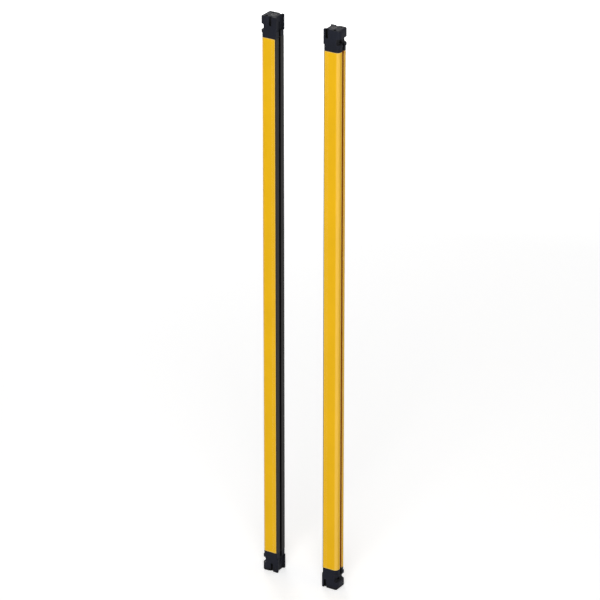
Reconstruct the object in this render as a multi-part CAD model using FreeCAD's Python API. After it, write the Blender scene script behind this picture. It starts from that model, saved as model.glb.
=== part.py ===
import FreeCAD, Part
import math
import os

from FreeCAD import Vector

# Safety light curtain: an emitter bar and a receiver bar that face each other across the guarded gap.
# Each bar is an extruded aluminium channel, closed at the front by an extruded black case whose
# central groove holds the optical window, and closed at both ends by a die-cast cap.
# Millimetres. +Z is up, +X runs from the emitter to the receiver, the origin is on the floor midway.
# A bar is drawn facing +X with its section centred on Z, then turned and moved to its place.

# ---- overall ----
field_gap = 98.0            # between the two front faces
profile_length = 1000.0     # extruded length of channel and case
section_width = 28.0        # side to side
section_depth = 30.0        # rear face to front face
cap_height = 40.0           # from the end of the channel to the end of the bar
fit_gap = 0.1               # running clearance between parts that slide together

# ---- extruded channel ----
channel_wall = 1.8
rear_corner_radius = 7.0
front_edge_radius = 0.8
slot_mouth = 6.4            # rear mounting slot
slot_inside = 10.4
slot_lip = 1.6
slot_room = 4.2
slot_web = 1.4
boss_radius = 2.6           # screw bosses inside the channel
boss_overlap = 0.6
boss_depth_place = -4.6

# ---- extruded front case ----
case_wall = 1.5
case_rear = -1.6
groove_width = 6.4
groove_depth = 3.0
groove_floor = 1.8
groove_edge_radius = 0.4
slit_width = 4.4
key_place = 8.0             # side keys that slide in the channel's walls
key_width = 2.4
key_height = 0.8
rail_inside = 10.4          # rails behind the case, which carry the control board
rail_wall = 1.6
rail_depth = 3.4
rail_groove = 0.7

# ---- optics and electronics ----
window_flange_width = 10.0
window_flange = 1.2
lens_strip_width = 9.2
lens_strip_thickness = 1.8
lens_half_height = 3.6
lens_width = 7.2
lens_bulge = 1.2
beam_pitch = 20.0
holder_width = 12.0
holder_cell_width = 8.0
holder_rib = 2.0
board_thickness = 1.6
beam_board_width = 20.4
beam_board_margin = 10.0    # from the channel's end to the board's end
optics_margin = 30.0        # from the channel's end to the first beam
led_size = 3.0
led_height = 1.2
diode_size = 4.0
diode_height = 1.0
control_board_length = 220.0
control_board_start = 15.0
control_board_lift = 0.8    # between the case's rear wall and the control board
chip_size = 7.0
chip_height = 1.5
chip_count = 6
link_width = 8.0
link_height = 4.0
link_place = 60.0
lamp_size = 2.0
lamp_height = 1.0
lamp_count = 3
lamp_pitch = 3.0
lamp_place = 12.0

# ---- end cap ----
gasket_thickness = 1.0
gasket_inset = 0.35
collar_height = 8.4         # flush with the channel
lobe_out = 1.5              # rear lobes stand behind the channel's rear face
lobe_height = 5.6           # lobes between the collar and the bracket channel
channel_height = 10.8       # bracket channel across the rear of the cap
channel_deep = 7.4
channel_corner_radius = 2.0
inner_lobe_radius = 2.4
outer_lobe_radius = 0.9
cap_rear_radius = 5.0
cap_edge_radius = 1.2
strip_step = 3.6            # front corner strips, from the collar's end to their foot
strip_out = 1.7
strip_width = 4.2
front_recess = 2.2
cap_groove_length = 29.0    # the window groove runs this far into the cap
rear_groove_depth = 2.2
inner_groove_depth = 1.2
side_slot_length = 17.0
side_slot_width = 5.4
side_slot_depth = 4.0
right_slot_back = 8.0       # from the channel's front face back to the slot's front wall
left_slot_back = 2.7
scoop_depth = 2.4
scoop_radius = 8.0
scoop_length = 21.0
spigot_length = 8.0
spigot_clearance = 0.15
screw_radius = 1.5
screw_hole_clearance = 0.2
screw_head_radius = 2.6
screw_head_height = 2.4
screw_socket_radius = 1.2
screw_socket_depth = 1.3
screw_seat = 12.0
screw_grip = 9.0
counterbore_clearance = 0.15
port_radius = 6.0            # cable port of the bottom cap
series_port_radius = 5.5     # port of the top cap, closed by a cover
port_place = 3.6
plug_depth = 8.0             # room for the plug's nose
insert_radius = 5.2          # seat of the contact insert at the port's foot
insert_thickness = 6.0
contact_count = 8
contact_radius = 0.5
contact_circle_radius = 2.4
contact_tail = 3.0
lead_hole_radius = 3.5
lead_width = 5.0
lead_thickness = 0.8
lead_plug_width = 7.0
lead_plug_height = 6.0
cover_thickness = 3.0
cover_slot_width = 1.4
cover_slot_depth = 1.2

# ---- worked out ----
half_width = section_width / 2
front = section_depth / 2
rear = -section_depth / 2
bottom_joint = cap_height
top_joint = cap_height + profile_length
bar_offset = field_gap / 2 + front
inner_half = half_width - channel_wall
slot_depth = slot_lip + slot_room
boss_place = inner_half - boss_radius + boss_overlap
case_half = inner_half - fit_gap
case_room_half = case_half - case_wall
groove_bottom = front - groove_depth
case_front_inside = groove_bottom - groove_floor
case_rear_inside = case_rear + case_wall
window_back = case_front_inside - window_flange
lens_back = window_back - lens_strip_thickness
board_front = case_rear_inside + board_thickness
control_front = case_rear - control_board_lift
control_rear = control_front - board_thickness
optics_length = profile_length - 2 * optics_margin
beam_count = int(optics_length // beam_pitch) + 1
first_beam = bottom_joint + (profile_length - (beam_count - 1) * beam_pitch) / 2
holder_end = beam_pitch / 2 - holder_rib / 2
channel_low = collar_height + lobe_height
channel_high = channel_low + channel_height
strip_start = collar_height + strip_step
port_depth = plug_depth + insert_thickness
head_rear = rear - lobe_out
head_front = front + strip_out
far = 4 * section_depth     # longer than any cut needs

os.makedirs("parts", exist_ok=True)


# ---- drawing helpers ----
def plan_point(a, b, c):
    return Vector(a, b, c)


def side_point(a, b, c):
    return Vector(a, c, b)


def face_point(a, b, c):
    return Vector(c, a, b)


def outline(corners, place, level):
    """Closed wire through corners (a, b, radius): straight runs joined by tangent arcs."""
    points = [Vector(a, b, 0) for a, b, radius in corners]
    starts, ends, middles = [], [], []
    for i, (a, b, radius) in enumerate(corners):
        before = (points[i - 1] - points[i]).normalize()
        after = (points[(i + 1) % len(points)] - points[i]).normalize()
        half_angle = before.getAngle(after) / 2
        reach = radius / math.tan(half_angle)
        bisector = (before + after).normalize()
        starts.append(points[i] + before * reach)
        ends.append(points[i] + after * reach)
        middles.append(points[i] + bisector * (radius / math.sin(half_angle) - radius))
    edges = []
    for i, (a, b, radius) in enumerate(corners):
        start, middle, end = (place(p.x, p.y, level) for p in (starts[i], middles[i], ends[i]))
        if radius > 0:
            edges.append(Part.Arc(start, middle, end).toShape())
        following = starts[(i + 1) % len(corners)]
        edges.append(Part.LineSegment(end, place(following.x, following.y, level)).toShape())
    return Part.Wire(edges)


def prism(corners, place, low, high):
    """Solid between two levels with the rounded outline as its section."""
    face = Part.Face(outline(corners, place, low))
    return face.extrude(place(0, 0, high - low))


def block(u_low, u_high, v_low, v_high, w_low, w_high):
    return Part.makeBox(u_high - u_low, v_high - v_low, w_high - w_low, Vector(u_low, v_low, w_low))


def centred(u_low, u_high, width, w_low, w_high):
    return block(u_low, u_high, -width / 2, width / 2, w_low, w_high)


def rod(radius, u, v, w_low, w_high):
    return Part.makeCylinder(radius, w_high - w_low, Vector(u, v, w_low), Vector(0, 0, 1))


def section_corners(back, ahead, half, corner_radius, edge_radius):
    return [(back, -half, corner_radius), (ahead, -half, edge_radius),
            (ahead, half, edge_radius), (back, half, corner_radius)]


def both_sides(shape):
    """The shape and its mirror image across the bar's middle plane."""
    return [shape, shape.mirror(Vector(0, 0, 0), Vector(0, 1, 0))]


def mirrored_to_bottom(shape):
    """A cap piece drawn above level 0, turned over to hang below the channel's lower end."""
    turned = shape.mirror(Vector(0, 0, 0), Vector(0, 0, 1))
    turned.translate(Vector(0, 0, bottom_joint))
    return turned


def moved_to_top(shape):
    moved = shape.copy()
    moved.translate(Vector(0, 0, top_joint))
    return moved


# ---- extruded channel ----
def enclosure():
    low, high = bottom_joint, top_joint
    corners = section_corners(rear, front, half_width, rear_corner_radius, front_edge_radius)
    body = prism(corners, plan_point, low, high)
    inner_radius = rear_corner_radius - channel_wall
    room = section_corners(rear + channel_wall, far, inner_half, inner_radius, 0)
    body = body.cut(prism(room, plan_point, low, high))
    slot_block = centred(rear, rear + slot_depth + slot_web, slot_inside + 2 * slot_web, low, high)
    inside = prism(corners, plan_point, low, high)
    bosses = both_sides(rod(boss_radius, boss_depth_place, boss_place, low, high))
    body = body.fuse([slot_block.common(inside)] + bosses)
    cuts = both_sides(rod(screw_radius, boss_depth_place, boss_place, low, high))
    cuts.append(centred(-far, rear + slot_depth, slot_mouth, low, high))
    cuts.append(centred(rear + slot_lip, rear + slot_depth, slot_inside, low, high))
    key_half = key_width / 2 + fit_gap
    cuts.append(centred(key_place - key_half, key_place + key_half,
                        2 * (case_half + key_height + fit_gap), low, high))
    return body.cut(cuts).removeSplitter()


# ---- extruded front case ----
def inner_case():
    low, high = bottom_joint, top_joint
    half_groove = groove_width / 2
    corners = [(case_rear, -case_half, 0), (front, -case_half, groove_edge_radius),
               (front, -half_groove, groove_edge_radius), (groove_bottom, -half_groove, 0),
               (groove_bottom, half_groove, 0), (front, half_groove, groove_edge_radius),
               (front, case_half, groove_edge_radius), (case_rear, case_half, 0)]
    body = prism(corners, plan_point, low, high)
    keys = centred(key_place - key_width / 2, key_place + key_width / 2,
                   2 * (case_half + key_height), low, high)
    rail_outer = rail_inside + 2 * rail_wall
    rails = centred(case_rear - rail_depth, case_rear, rail_outer, low, high)
    rails = rails.cut(centred(-far, case_rear, rail_inside, low, high))
    body = body.fuse([keys, rails])
    board_groove = centred(control_rear - fit_gap, control_front + fit_gap,
                           rail_inside + 2 * rail_groove, low, high)
    room = centred(case_rear_inside, case_front_inside, 2 * case_room_half, low, high)
    slit = centred(case_front_inside, groove_bottom, slit_width, low, high)
    link_low = link_centre() - link_height / 2 - fit_gap
    link_hole = centred(case_rear - fit_gap, case_rear_inside, link_width + 2 * fit_gap,
                        link_low, link_low + link_height + 2 * fit_gap)
    return body.cut([board_groove, room, slit, link_hole]).removeSplitter()


# ---- optics ----
def front_window():
    """Infrared window: a T section clamped behind the case's front wall, its nose in the slit."""
    low, high = bottom_joint, top_joint
    flange = centred(window_back, case_front_inside, window_flange_width, low, high)
    nose = centred(case_front_inside, groove_bottom, slit_width - 2 * fit_gap, low, high)
    return flange.fuse(nose).removeSplitter()


def beam_levels():
    return [first_beam + i * beam_pitch for i in range(beam_count)]


def lens_strip():
    """Clear strip with a bulging lens behind the window at each beam."""
    low = first_beam - beam_pitch / 2
    high = low + beam_count * beam_pitch
    strip = centred(lens_back, window_back, lens_strip_width, low, high)
    curve_radius = (lens_half_height ** 2 + lens_bulge ** 2) / (2 * lens_bulge)
    curve_place = lens_back - lens_bulge + curve_radius
    lens = Part.makeCylinder(curve_radius, lens_width, Vector(curve_place, -lens_width / 2, 0),
                             Vector(0, 1, 0))
    lens = lens.common(centred(-far, lens_back, far, -far, far))
    lenses = []
    for level in beam_levels():
        placed = lens.copy()
        placed.translate(Vector(0, 0, level))
        lenses.append(placed)
    return strip.fuse(lenses).removeSplitter()


def optics_holder():
    """Black ladder that shades each beam from its neighbours."""
    low = first_beam - beam_pitch / 2
    high = low + beam_count * beam_pitch
    body = centred(board_front, lens_back, holder_width, low, high)
    cells = [centred(board_front, lens_back, holder_cell_width, level - holder_end, level + holder_end)
             for level in beam_levels()]
    return body.cut(cells)


def beam_board():
    low = bottom_joint + beam_board_margin
    high = top_joint - beam_board_margin
    return centred(case_rear_inside, board_front, beam_board_width, low, high)


def beam_diodes(size, height):
    return Part.makeCompound([
        centred(board_front, board_front + height, size, level - size / 2, level + size / 2)
        for level in beam_levels()])


# ---- electronics ----
def control_low():
    return bottom_joint + control_board_start


def link_centre():
    return control_low() + link_place


def control_board():
    width = rail_inside + 2 * (rail_groove - fit_gap)
    return centred(control_rear, control_front, width, control_low(), control_low() + control_board_length)


def control_chips():
    spacing = control_board_length / chip_count
    chips = []
    for i in range(chip_count):
        level = control_low() + (i + 0.5) * spacing
        chips.append(centred(control_rear - chip_height, control_rear, chip_size,
                             level - chip_size / 2, level + chip_size / 2))
    return Part.makeCompound(chips)


def board_link():
    """Pin header that joins the control board to the beam board through the case's rear wall."""
    low = link_centre() - link_height / 2
    return centred(control_front, case_rear_inside, link_width, low, low + link_height)


def indicator_lights():
    """Status lights on the beam board, seen through the window above its last beam."""
    lamps = []
    for i in range(lamp_count):
        level = top_joint - lamp_place - i * lamp_pitch
        lamps.append(centred(board_front, board_front + lamp_height, lamp_size,
                             level - lamp_size / 2, level + lamp_size / 2))
    return Part.makeCompound(lamps)


# ---- end cap, drawn with the channel's end at level 0 and the cap above it ----
def cap_head():
    side = [(head_rear, collar_height, inner_lobe_radius), (head_front, collar_height, 0),
            (head_front, cap_height, cap_edge_radius), (head_rear, cap_height, cap_rear_radius),
            (head_rear, channel_high, outer_lobe_radius),
            (head_rear + channel_deep, channel_high, channel_corner_radius),
            (head_rear + channel_deep, channel_low, channel_corner_radius),
            (head_rear, channel_low, inner_lobe_radius)]
    strip_inner = half_width - strip_width
    recess = front - front_recess
    plan = [(head_rear, -half_width, rear_corner_radius), (head_front, -half_width, cap_edge_radius),
            (head_front, -strip_inner, cap_edge_radius), (recess, -strip_inner, cap_edge_radius),
            (recess, strip_inner, cap_edge_radius), (head_front, strip_inner, cap_edge_radius),
            (head_front, half_width, cap_edge_radius), (head_rear, half_width, rear_corner_radius)]
    edge = [(-half_width, collar_height, 0), (half_width, collar_height, 0),
            (half_width, cap_height, cap_edge_radius), (-half_width, cap_height, cap_edge_radius)]
    head = prism(side, side_point, -half_width, half_width)
    head = head.common(prism(plan, plan_point, collar_height, cap_height))
    head = head.common(prism(edge, face_point, head_rear, head_front))
    return head.cut(centred(0, far, far, collar_height, strip_start))


def cap_cuts(port):
    half_groove = groove_width / 2
    groove = [(half_groove, 0, 0), (half_groove, cap_groove_length, half_groove - fit_gap),
              (-half_groove, cap_groove_length, half_groove - fit_gap), (-half_groove, 0, 0)]
    cuts = [prism(groove, face_point, groove_bottom, far)]
    cuts.append(centred(-far, rear + rear_groove_depth, slot_mouth, 0, channel_low))
    channel_wall_place = head_rear + channel_deep
    cuts.append(centred(channel_wall_place - channel_corner_radius, channel_wall_place + inner_groove_depth,
                        slot_mouth, channel_low, channel_high))
    cuts += [side_slot(right_slot_back, -1), side_slot(left_slot_back, 1)]
    scoop = Part.makeCone(scoop_radius - scoop_depth, scoop_radius, scoop_length,
                          Vector(front - right_slot_back - side_slot_width,
                                 -half_width - scoop_radius + scoop_depth, cap_height - scoop_length),
                          Vector(0, 0, 1))
    cuts.append(scoop)
    hole_radius = screw_radius + screw_hole_clearance
    counterbore = screw_head_radius + counterbore_clearance
    cuts += both_sides(rod(hole_radius, boss_depth_place, boss_place, 0, cap_height))
    cuts += both_sides(rod(counterbore, boss_depth_place, boss_place, screw_seat, far))
    cuts.append(rod(port, port_place, 0, cap_height - plug_depth, far))
    cuts.append(rod(insert_radius, port_place, 0, cap_height - port_depth, cap_height))
    return cuts


def side_slot(back, side):
    """Slot in one side of the head, open at its end and round at its foot."""
    ahead = front - back
    low = cap_height - side_slot_length
    radius = side_slot_width / 2 - fit_gap
    corners = [(ahead - side_slot_width, low, radius), (ahead, low, radius),
               (ahead, far, 0), (ahead - side_slot_width, far, 0)]
    shallow, deep = sorted([side * far, side * (half_width - side_slot_depth)])
    return prism(corners, side_point, shallow, deep)


def cap_spigot():
    """Tongue that enters the case and centres the cap."""
    return centred(case_rear_inside + spigot_clearance, window_back - spigot_clearance,
                   2 * (case_room_half - spigot_clearance), -spigot_length, gasket_thickness)


def end_cap(port, lead_hole):
    corners = section_corners(rear, front, half_width, rear_corner_radius, cap_edge_radius)
    collar = prism(corners, plan_point, gasket_thickness, strip_start)
    body = collar.fuse([cap_head(), cap_spigot()])
    cuts = cap_cuts(port)
    if lead_hole:
        cuts.append(rod(lead_hole_radius, port_place, 0, -spigot_length, cap_height))
    return body.cut(cuts).removeSplitter()


def gasket():
    inset = gasket_inset
    corners = section_corners(rear + inset, front - inset, half_width - inset,
                              rear_corner_radius - inset, 0)
    body = prism(corners, plan_point, 0, gasket_thickness)
    spigot_half = case_room_half - spigot_clearance + fit_gap
    spigot = centred(case_rear_inside, window_back, 2 * spigot_half, 0, gasket_thickness)
    hole_radius = screw_radius + screw_hole_clearance
    cuts = both_sides(rod(hole_radius, boss_depth_place, boss_place, 0, gasket_thickness))
    cuts.append(spigot)
    cuts.append(centred(groove_bottom, far, groove_width, 0, gasket_thickness))
    cuts.append(centred(-far, rear + rear_groove_depth, slot_mouth, 0, gasket_thickness))
    return body.cut(cuts)


def cap_screws():
    shaft = rod(screw_radius, boss_depth_place, boss_place, -screw_grip, screw_seat)
    head = rod(screw_head_radius, boss_depth_place, boss_place, screw_seat, screw_seat + screw_head_height)
    top = screw_seat + screw_head_height
    socket = rod(screw_socket_radius, boss_depth_place, boss_place, top - screw_socket_depth, top)
    return Part.makeCompound(both_sides(shaft.fuse(head).cut(socket)))


# ---- cable port of the bottom cap and covered port of the top cap ----
def contact_places():
    turn = 2 * math.pi / contact_count
    return [(port_place + contact_circle_radius * math.cos(i * turn),
             contact_circle_radius * math.sin(i * turn)) for i in range(contact_count)]


def connector_insert():
    low = cap_height - port_depth
    body = rod(insert_radius, port_place, 0, low, low + insert_thickness)
    return body.cut([rod(contact_radius, u, v, low, low + insert_thickness)
                     for u, v in contact_places()])


def connector_contacts():
    low = cap_height - port_depth - contact_tail
    high = cap_height - port_depth + insert_thickness
    return Part.makeCompound([rod(contact_radius, u, v, low, high) for u, v in contact_places()])


def connector_lead():
    """Flat internal lead from the port's contacts to its plug on the beam board."""
    high = cap_height - port_depth - contact_tail
    plug_top = -beam_board_margin - lead_plug_height / 2
    strip = centred(port_place - lead_thickness / 2, port_place + lead_thickness / 2, lead_width,
                    plug_top, high)
    plug = centred(board_front, port_place + lead_thickness, lead_plug_width,
                   plug_top - lead_plug_height, plug_top)
    return strip.fuse(plug).removeSplitter()


def series_port_cover():
    low = cap_height - cover_thickness
    body = rod(series_port_radius, port_place, 0, low, cap_height)
    return body.cut(centred(-far, far, cover_slot_width, cap_height - cover_slot_depth, cap_height))


# ---- both bars ----
def bar_pieces(diode_name, diode_width, diode_tall):
    lower_cap = mirrored_to_bottom(end_cap(port_radius, True))
    upper_cap = moved_to_top(end_cap(series_port_radius, False))
    return {
        "enclosure": enclosure(),
        "inner_case": inner_case(),
        "front_window": front_window(),
        "lens_strip": lens_strip(),
        "optics_holder": optics_holder(),
        "beam_board": beam_board(),
        diode_name: beam_diodes(diode_width, diode_tall),
        "control_board": control_board(),
        "control_chips": control_chips(),
        "board_link": board_link(),
        "indicator_lights": indicator_lights(),
        "top_cap": upper_cap,
        "bottom_cap": lower_cap,
        "top_gasket": moved_to_top(gasket()),
        "bottom_gasket": mirrored_to_bottom(gasket()),
        "top_cap_screws": moved_to_top(cap_screws()),
        "bottom_cap_screws": mirrored_to_bottom(cap_screws()),
        "series_port_cover": moved_to_top(series_port_cover()),
        "connector_insert": mirrored_to_bottom(connector_insert()),
        "connector_contacts": mirrored_to_bottom(connector_contacts()),
        "connector_lead": mirrored_to_bottom(connector_lead()),
    }


def export_bar(bar, pieces, turn, offset):
    for name, shape in pieces.items():
        placed = shape.copy()
        placed.rotate(Vector(0, 0, 0), Vector(0, 0, 1), turn)
        placed.translate(Vector(offset, 0, 0))
        placed.exportStep("parts/" + bar + "_" + name + ".step")
        print(bar, name, len(placed.Solids), round(placed.Volume, 1), placed.isValid())


export_bar("emitter", bar_pieces("leds", led_size, led_height), 0, -bar_offset)
export_bar("receiver", bar_pieces("photodiodes", diode_size, diode_height), 180, bar_offset)
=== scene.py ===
import math

import bpy
from bpy.props import FloatProperty, FloatVectorProperty, IntProperty, PointerProperty
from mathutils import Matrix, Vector


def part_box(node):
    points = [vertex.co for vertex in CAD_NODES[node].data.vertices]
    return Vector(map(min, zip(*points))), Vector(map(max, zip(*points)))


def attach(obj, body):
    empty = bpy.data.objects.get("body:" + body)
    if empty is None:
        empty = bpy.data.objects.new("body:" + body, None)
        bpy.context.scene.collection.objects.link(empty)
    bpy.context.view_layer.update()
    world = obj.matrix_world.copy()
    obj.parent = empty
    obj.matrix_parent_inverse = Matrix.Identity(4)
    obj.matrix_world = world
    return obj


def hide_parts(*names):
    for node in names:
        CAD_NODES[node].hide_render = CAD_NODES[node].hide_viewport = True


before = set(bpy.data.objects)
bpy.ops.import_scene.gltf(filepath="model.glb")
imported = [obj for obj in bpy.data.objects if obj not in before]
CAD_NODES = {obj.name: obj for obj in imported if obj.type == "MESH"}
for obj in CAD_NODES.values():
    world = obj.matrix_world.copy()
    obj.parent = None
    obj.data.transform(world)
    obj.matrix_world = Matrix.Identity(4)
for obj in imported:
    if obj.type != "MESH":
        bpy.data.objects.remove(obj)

bl_info = {
    "name": "Safety Light Curtain",
    "version": (1, 0, 0),
    "blender": (4, 5, 0),
    "location": "View3D > Sidebar > Light Curtain",
    "description": "Models the fittings of an emitter and a receiver bar and finishes every part",
    "category": "Object",
}

BARS = ("emitter", "receiver")
ENDS = ("top", "bottom")
UP, DOWN, FORWARD = Vector((0.0, 0.0, 1.0)), Vector((0.0, 0.0, -1.0)), Vector((1.0, 0.0, 0.0))
ORIGIN = (0.0, 0.0, 0.0)
WHITE = (1.0, 1.0, 1.0, 1.0)
SAME_POINT = 1e-6  # metres; corners closer than this are one corner
SAME_PLANE = 1e-5  # metres; a corner closer than this lies on a plane
ALIGNED = 0.9  # how much of a face's normal lies along the way it faces
FLAT_JOIN = math.radians(0.5)  # faces that meet at less than this are one face
CAST_CORNER = math.radians(40.0)  # edges sharper than this are rounded
SMOOTH_ANGLE = math.radians(35.0)  # edges sharper than this are drawn sharp
MICRON = 1e-6


# ---- sizes, finishes and stage a user may change ----
def length(name, description, default, least=0.0):
    return FloatProperty(name=name, description=description, default=default, min=least,
                         precision=5, unit="LENGTH")


def number(name, description, default, least):
    return IntProperty(name=name, description=description, default=default, min=least)


def share(name, description, default):
    return FloatProperty(name=name, description=description, default=default, min=0.0, max=1.0,
                         subtype="FACTOR")


def colour(name, description, default):
    return FloatVectorProperty(name=name, description=description, default=default, min=0.0,
                               max=1.0, size=3, subtype="COLOR")


def power(name, description, default):
    return FloatProperty(name=name, description=description, default=default, min=0.0, unit="POWER")


def angle(name, description, degrees):
    return FloatProperty(name=name, description=description, default=math.radians(degrees),
                         subtype="ANGLE", unit="ROTATION")


class CurtainSizes(bpy.types.PropertyGroup):
    flange_depth: length("Flange Depth", "Front case flange over the channel's wall ends", 0.0012)
    flange_gap: length("Flange Gap", "Gap between the flange and the channel's wall end", 0.0001)
    flange_root: length("Flange Root", "Overlap of the flange and the body of the case", 0.001)
    flange_round: length("Flange Round", "Rounded outer edge of the flange", 0.0004)
    cap_edge: length("Cap Edge", "Radius broken onto the cast edges of the end caps", 0.00028)
    gasket_edge: length("Gasket Edge", "Radius of the gaskets' moulded edges", 0.00018)
    hex_corner: length("Hex Corner", "Corner radius of the screws' hexagon socket", 0.00142)
    hex_depth: length("Hex Depth", "Depth of the screws' hexagon socket", 0.0013)
    screw_rim: length("Screw Rim", "Rounding of the screw heads", 0.00035)
    shank_radius: length("Shank Radius", "Radius of the cap screws' shank", 0.0015)
    coin_slot_width: length("Coin Slot Width", "Width of the slot across a port cover", 0.0014)
    coin_slot_length: length("Coin Slot Length", "Length of the slot across a port cover", 0.0084)
    coin_slot_depth: length("Coin Slot Depth", "Depth of the slot across a port cover", 0.0012)
    cover_rim: length("Cover Rim", "Raised rim of a port cover", 0.0007)
    cover_recess: length("Cover Recess", "Depth of the dish inside a port cover's rim", 0.0003)
    insert_rim: length("Insert Rim", "Raised rim of the contact insert", 0.0007)
    insert_recess: length("Insert Recess", "Depth of the insert's face behind its rim", 0.0005)
    contact_radius: length("Contact Radius", "Radius of the contact sockets", 0.0005)
    contact_circle: length("Contact Circle", "Radius of the circle the contacts stand on", 0.0024)
    contact_count: number("Contacts", "Contacts in the cable port", 8, 2)
    beam_pitch: length("Beam Pitch", "Distance between neighbouring beams", 0.02)
    chip_count: number("Chips", "Chips on a control board", 6, 2)
    chip_legs: number("Chip Legs", "Legs along one side of a chip", 7, 1)
    lamp_pitch: length("Lamp Pitch", "Distance between neighbouring status lamps", 0.003)


class CurtainFinish(bpy.types.PropertyGroup):
    paint: colour("Paint", "Powder coat of the channels", (0.785, 0.435, 0.0012))
    # Thin paint at the edges, and also a painted highlight: this paler colour lightens the rounded
    # corners and edges as a highlight would.
    thin_paint_and_highlight: colour("Thin Paint", "Powder coat where it thins over an edge", (0.88, 0.62, 0.20))
    # Painted shade: the darker colour that the channels take in their slots, where shade falls.
    paint_recess_shade: colour("Deep Paint", "Channel in its slot, where powder hardly reaches",
                       (0.26, 0.055, 0.0))
    paint_roughness: share("Paint Roughness", "Roughness of the powder coat", 0.42)
    case_black: colour("Case", "Black anodised front case", (0.0085, 0.0072, 0.0075))
    case_rubbed: colour("Rubbed Case", "Case colour where an edge is rubbed", (0.09, 0.085, 0.08))
    case_roughness: share("Case Roughness", "Roughness of the front case", 0.42)
    window_tint: colour("Window", "Tint of the infrared window", (0.20, 0.030, 0.045))
    lens_clear: colour("Lens", "Moulded lens strip", (0.92, 0.94, 0.95))
    cap_grey: colour("Cap", "Paint of the cast end caps", (0.0048, 0.0057, 0.0106))
    cap_rubbed: colour("Rubbed Cap", "Cap colour where an edge is rubbed", (0.06, 0.06, 0.062))
    cap_roughness: share("Cap Roughness", "Roughness of the cap paint", 0.60)
    rubber: colour("Rubber", "Gaskets", (0.012, 0.012, 0.012))
    steel: colour("Steel", "Cap screws", (0.56, 0.56, 0.57))
    gold: colour("Contact Plating", "Contacts and board pads", (0.83, 0.58, 0.25))
    board_green: colour("Board", "Solder mask of the circuit boards", (0.012, 0.105, 0.038))
    board_track: colour("Board Tracks", "Solder mask over copper tracks", (0.024, 0.19, 0.066))
    epoxy: colour("Epoxy", "Moulded chip and diode bodies", (0.018, 0.018, 0.019))
    ceramic: colour("Ceramic", "Diode carriers", (0.72, 0.70, 0.64))
    lamp: colour("Lamp", "Unlit status lamps", (0.68, 0.80, 0.70))
    sheath: colour("Lead", "Sheath of the internal lead", (0.10, 0.10, 0.11))
    dust: colour("Dust", "Dust on upward faces", (0.42, 0.40, 0.37))
    # Painted shade: the near-black that the front cases and caps take in their grooves and
    # channels.
    recess_shade_black: colour("Recess Shade", "Black parts in their grooves and channels", (0.001, 0.001, 0.001))


class CurtainStage(bpy.types.PropertyGroup):
    floor_colour: colour("Floor", "Pale floor and background", (0.86, 0.86, 0.86))
    floor_lift: share("Floor Lift", "Light added to the floor near the bars, as it is seen", 0.43)
    ambient: share("Ambient", "Strength of the even studio light", 0.30)
    key_power: power("Key", "Power of the large high light", 126.0)
    low_power: power("Low", "Power of the low light beside the camera", 62.0)
    back_power: power("Back", "Power of the low light behind the bars", 120.0)
    azimuth: angle("Azimuth", "Direction the camera looks from, round the bars", 31.75)
    elevation: angle("Elevation", "Height of the camera above the horizon", 24.33)
    distance: length("Distance", "From the camera to the point it looks at", 7.083)
    aim_side: length("Aim Side", "Where the camera looks, across the gap", -0.0078, -1.0)
    aim_height: length("Aim Height", "Where the camera looks, above the floor", 0.5529)
    lens: FloatProperty(name="Lens", description="Focal length in millimetres", default=240.0,
                        min=1.0, subtype="DISTANCE_CAMERA")


# ---- modelling helpers ----
def select_only(piece):
    """Object mode, with this piece alone selected and active."""
    if bpy.context.mode != "OBJECT":
        bpy.ops.object.mode_set(mode="OBJECT")
    bpy.ops.object.select_all(action="DESELECT")
    if piece is not None:
        piece.select_set(True)
        bpy.context.view_layer.objects.active = piece


def settle(piece):
    """Moves the piece's place, turn and scale into its mesh."""
    select_only(piece)
    bpy.ops.object.transform_apply(location=True, rotation=True, scale=True)
    return piece


def named(piece, name):
    piece.name = piece.data.name = name
    return piece


def add_piece(name, primitive, **settings):
    """Adds a primitive at its size and place with nothing else selected."""
    select_only(None)
    primitive(**settings)
    return settle(named(bpy.context.active_object, name))


def add_block(name, size, centre):
    return add_piece(name, bpy.ops.mesh.primitive_cube_add, size=1.0, scale=size, location=centre)


def add_disc(name, radius, depth, centre, vertices=48):
    return add_piece(name, bpy.ops.mesh.primitive_cylinder_add, vertices=vertices, radius=radius,
                     depth=depth, location=centre)


def facing(direction):
    """Picks the faces that look in a direction."""
    return lambda centre, normal: normal.dot(direction) > ALIGNED


def all_faces(centre, normal):
    return True


def edit_only(piece, parts, select_mode, wanted):
    """Edit mode with only the wanted parts of the mesh selected."""
    select_only(piece)
    mesh = piece.data
    for other in (mesh.vertices, mesh.edges, mesh.polygons):
        other.foreach_set("select", [False] * len(other))
    for part in getattr(mesh, parts):
        part.select = bool(wanted(part))
    bpy.context.tool_settings.mesh_select_mode = select_mode
    bpy.ops.object.mode_set(mode="EDIT")


def edit_faces(piece, wanted):
    """Edits the faces that pass wanted(centre, normal)."""
    edit_only(piece, "polygons", (False, False, True),
              lambda face: wanted(face.center, face.normal))


def edit_edges(piece, wanted):
    """Edits the edges that pass wanted(start, end)."""
    points = piece.data.vertices
    edit_only(piece, "edges", (False, True, False),
              lambda edge: wanted(*(points[i].co for i in edge.vertices)))


def close_edit():
    bpy.ops.object.mode_set(mode="OBJECT")


def push(distance):
    """Extrudes the chosen face along Z."""
    bpy.ops.mesh.extrude_region_move(TRANSFORM_OT_translate={"value": (0.0, 0.0, distance)})


def inset_faces(piece, wanted, rim, slope=0.0, depth=0.0):
    """Insets the wanted faces by a rim, and sinks them to a depth down a short slope."""
    edit_faces(piece, wanted)
    bpy.ops.mesh.inset(thickness=rim)
    if depth:
        bpy.ops.mesh.inset(thickness=slope, depth=-depth)
    close_edit()


def round_edges(piece, wanted, radius, segments=2):
    edit_edges(piece, wanted)
    bpy.ops.mesh.bevel(offset=radius, segments=segments, affect="EDGES", clamp_overlap=True)
    close_edit()


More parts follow.
